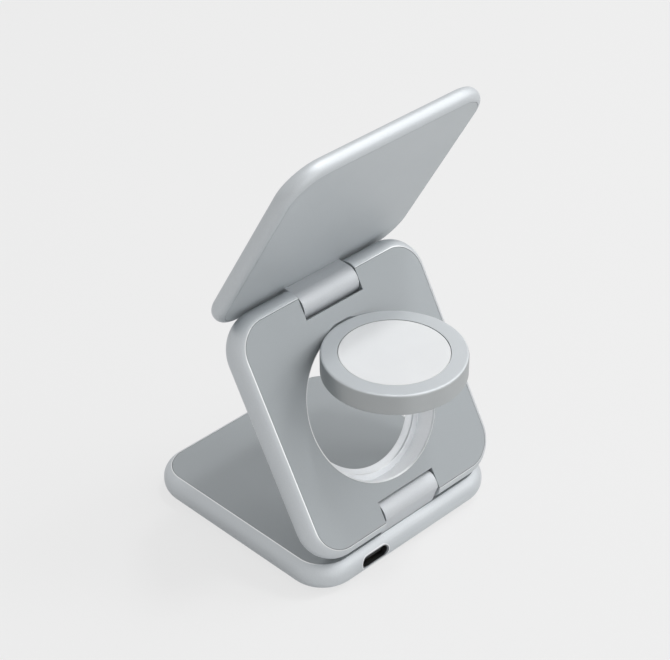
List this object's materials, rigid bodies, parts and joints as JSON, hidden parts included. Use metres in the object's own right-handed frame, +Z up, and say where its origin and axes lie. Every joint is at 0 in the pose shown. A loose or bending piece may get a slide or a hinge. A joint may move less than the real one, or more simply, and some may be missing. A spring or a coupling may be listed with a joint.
{
  "type": "folding wireless charging stand",
  "caption": "Folding wireless charging stand: flat base with earbud pad, tilting middle leaf with a swing-out watch puck, and a hinged magnetic phone leaf on top.",
  "frame": {"origin": "centre of the base's underside, on the desk", "axes": "+Z up, +X along the hinge pins, +Y to the rear, where the lower hinge and the cable socket are; the phone faces -Y"},
  "size_m": [0.066, 0.0778, 0.1214],
  "materials": {
    "aluminium": "bead-blasted, clear anodised",
    "panel": "fine matte grey, moulded and painted",
    "foot": "matte silicone sheet",
    "steel": "ground steel",
    "tongue": "moulded black plastic",
    "cap": "satin white",
    "circuit_board": "green solder mask",
    "copper": "enamelled copper wire",
    "ferrite": "matte sintered sheet",
    "magnet": "nickel plated"
  },
  "bodies": {
    "base": {"base_frame": "aluminium", "base_panel": "panel", "lower_knuckle": "aluminium", "base_foot": "foot", "usb_c_shell": "steel", "usb_c_tongue": "tongue", "base_circuit_board": "circuit_board", "base_charging_coil": "copper", "base_ferrite_sheet": "ferrite"},
    "middle": {"middle_frame": "aluminium", "middle_rear_panel": "panel", "middle_front_panel": "panel", "well_ring": "aluminium", "lower_hinge_pin": "steel", "upper_hinge_pin": "steel", "puck_pin": "steel"},
    "puck": {"puck_shell": "aluminium", "puck_cap": "cap", "puck_charging_coil": "copper", "puck_ferrite_sheet": "ferrite", "puck_magnet": "magnet", "puck_circuit_board": "circuit_board"},
    "top": {"top_frame": "aluminium", "phone_pad": "panel", "top_back_panel": "panel", "upper_knuckle": "aluminium", "phone_magnet_ring": "magnet", "phone_charging_coil": "copper", "phone_ferrite_sheet": "ferrite", "phone_circuit_board": "circuit_board"}
  },
  "joints": [
    {"name": "lower_hinge", "type": "hinge", "parent": "base", "child": "middle", "pos_m": [0, 0.0289, 0.01355], "axis": [-1, 0, 0], "range_deg": [-60, 30]},
    {"name": "upper_hinge", "type": "hinge", "parent": "middle", "child": "top", "pos_m": [0, 0, 0.06361], "axis": [1, 0, 0], "range_deg": [-120, 0]},
    {"name": "watch_pivot", "type": "hinge", "parent": "middle", "child": "puck", "pos_m": [0, 0.00588, 0.05522], "axis": [1, 0, 0], "range_deg": [-60, 0]}
  ],
  "couplings": [
    {"joint": "watch_pivot", "follows": "upper_hinge", "ratio": 0.5}
  ]
}
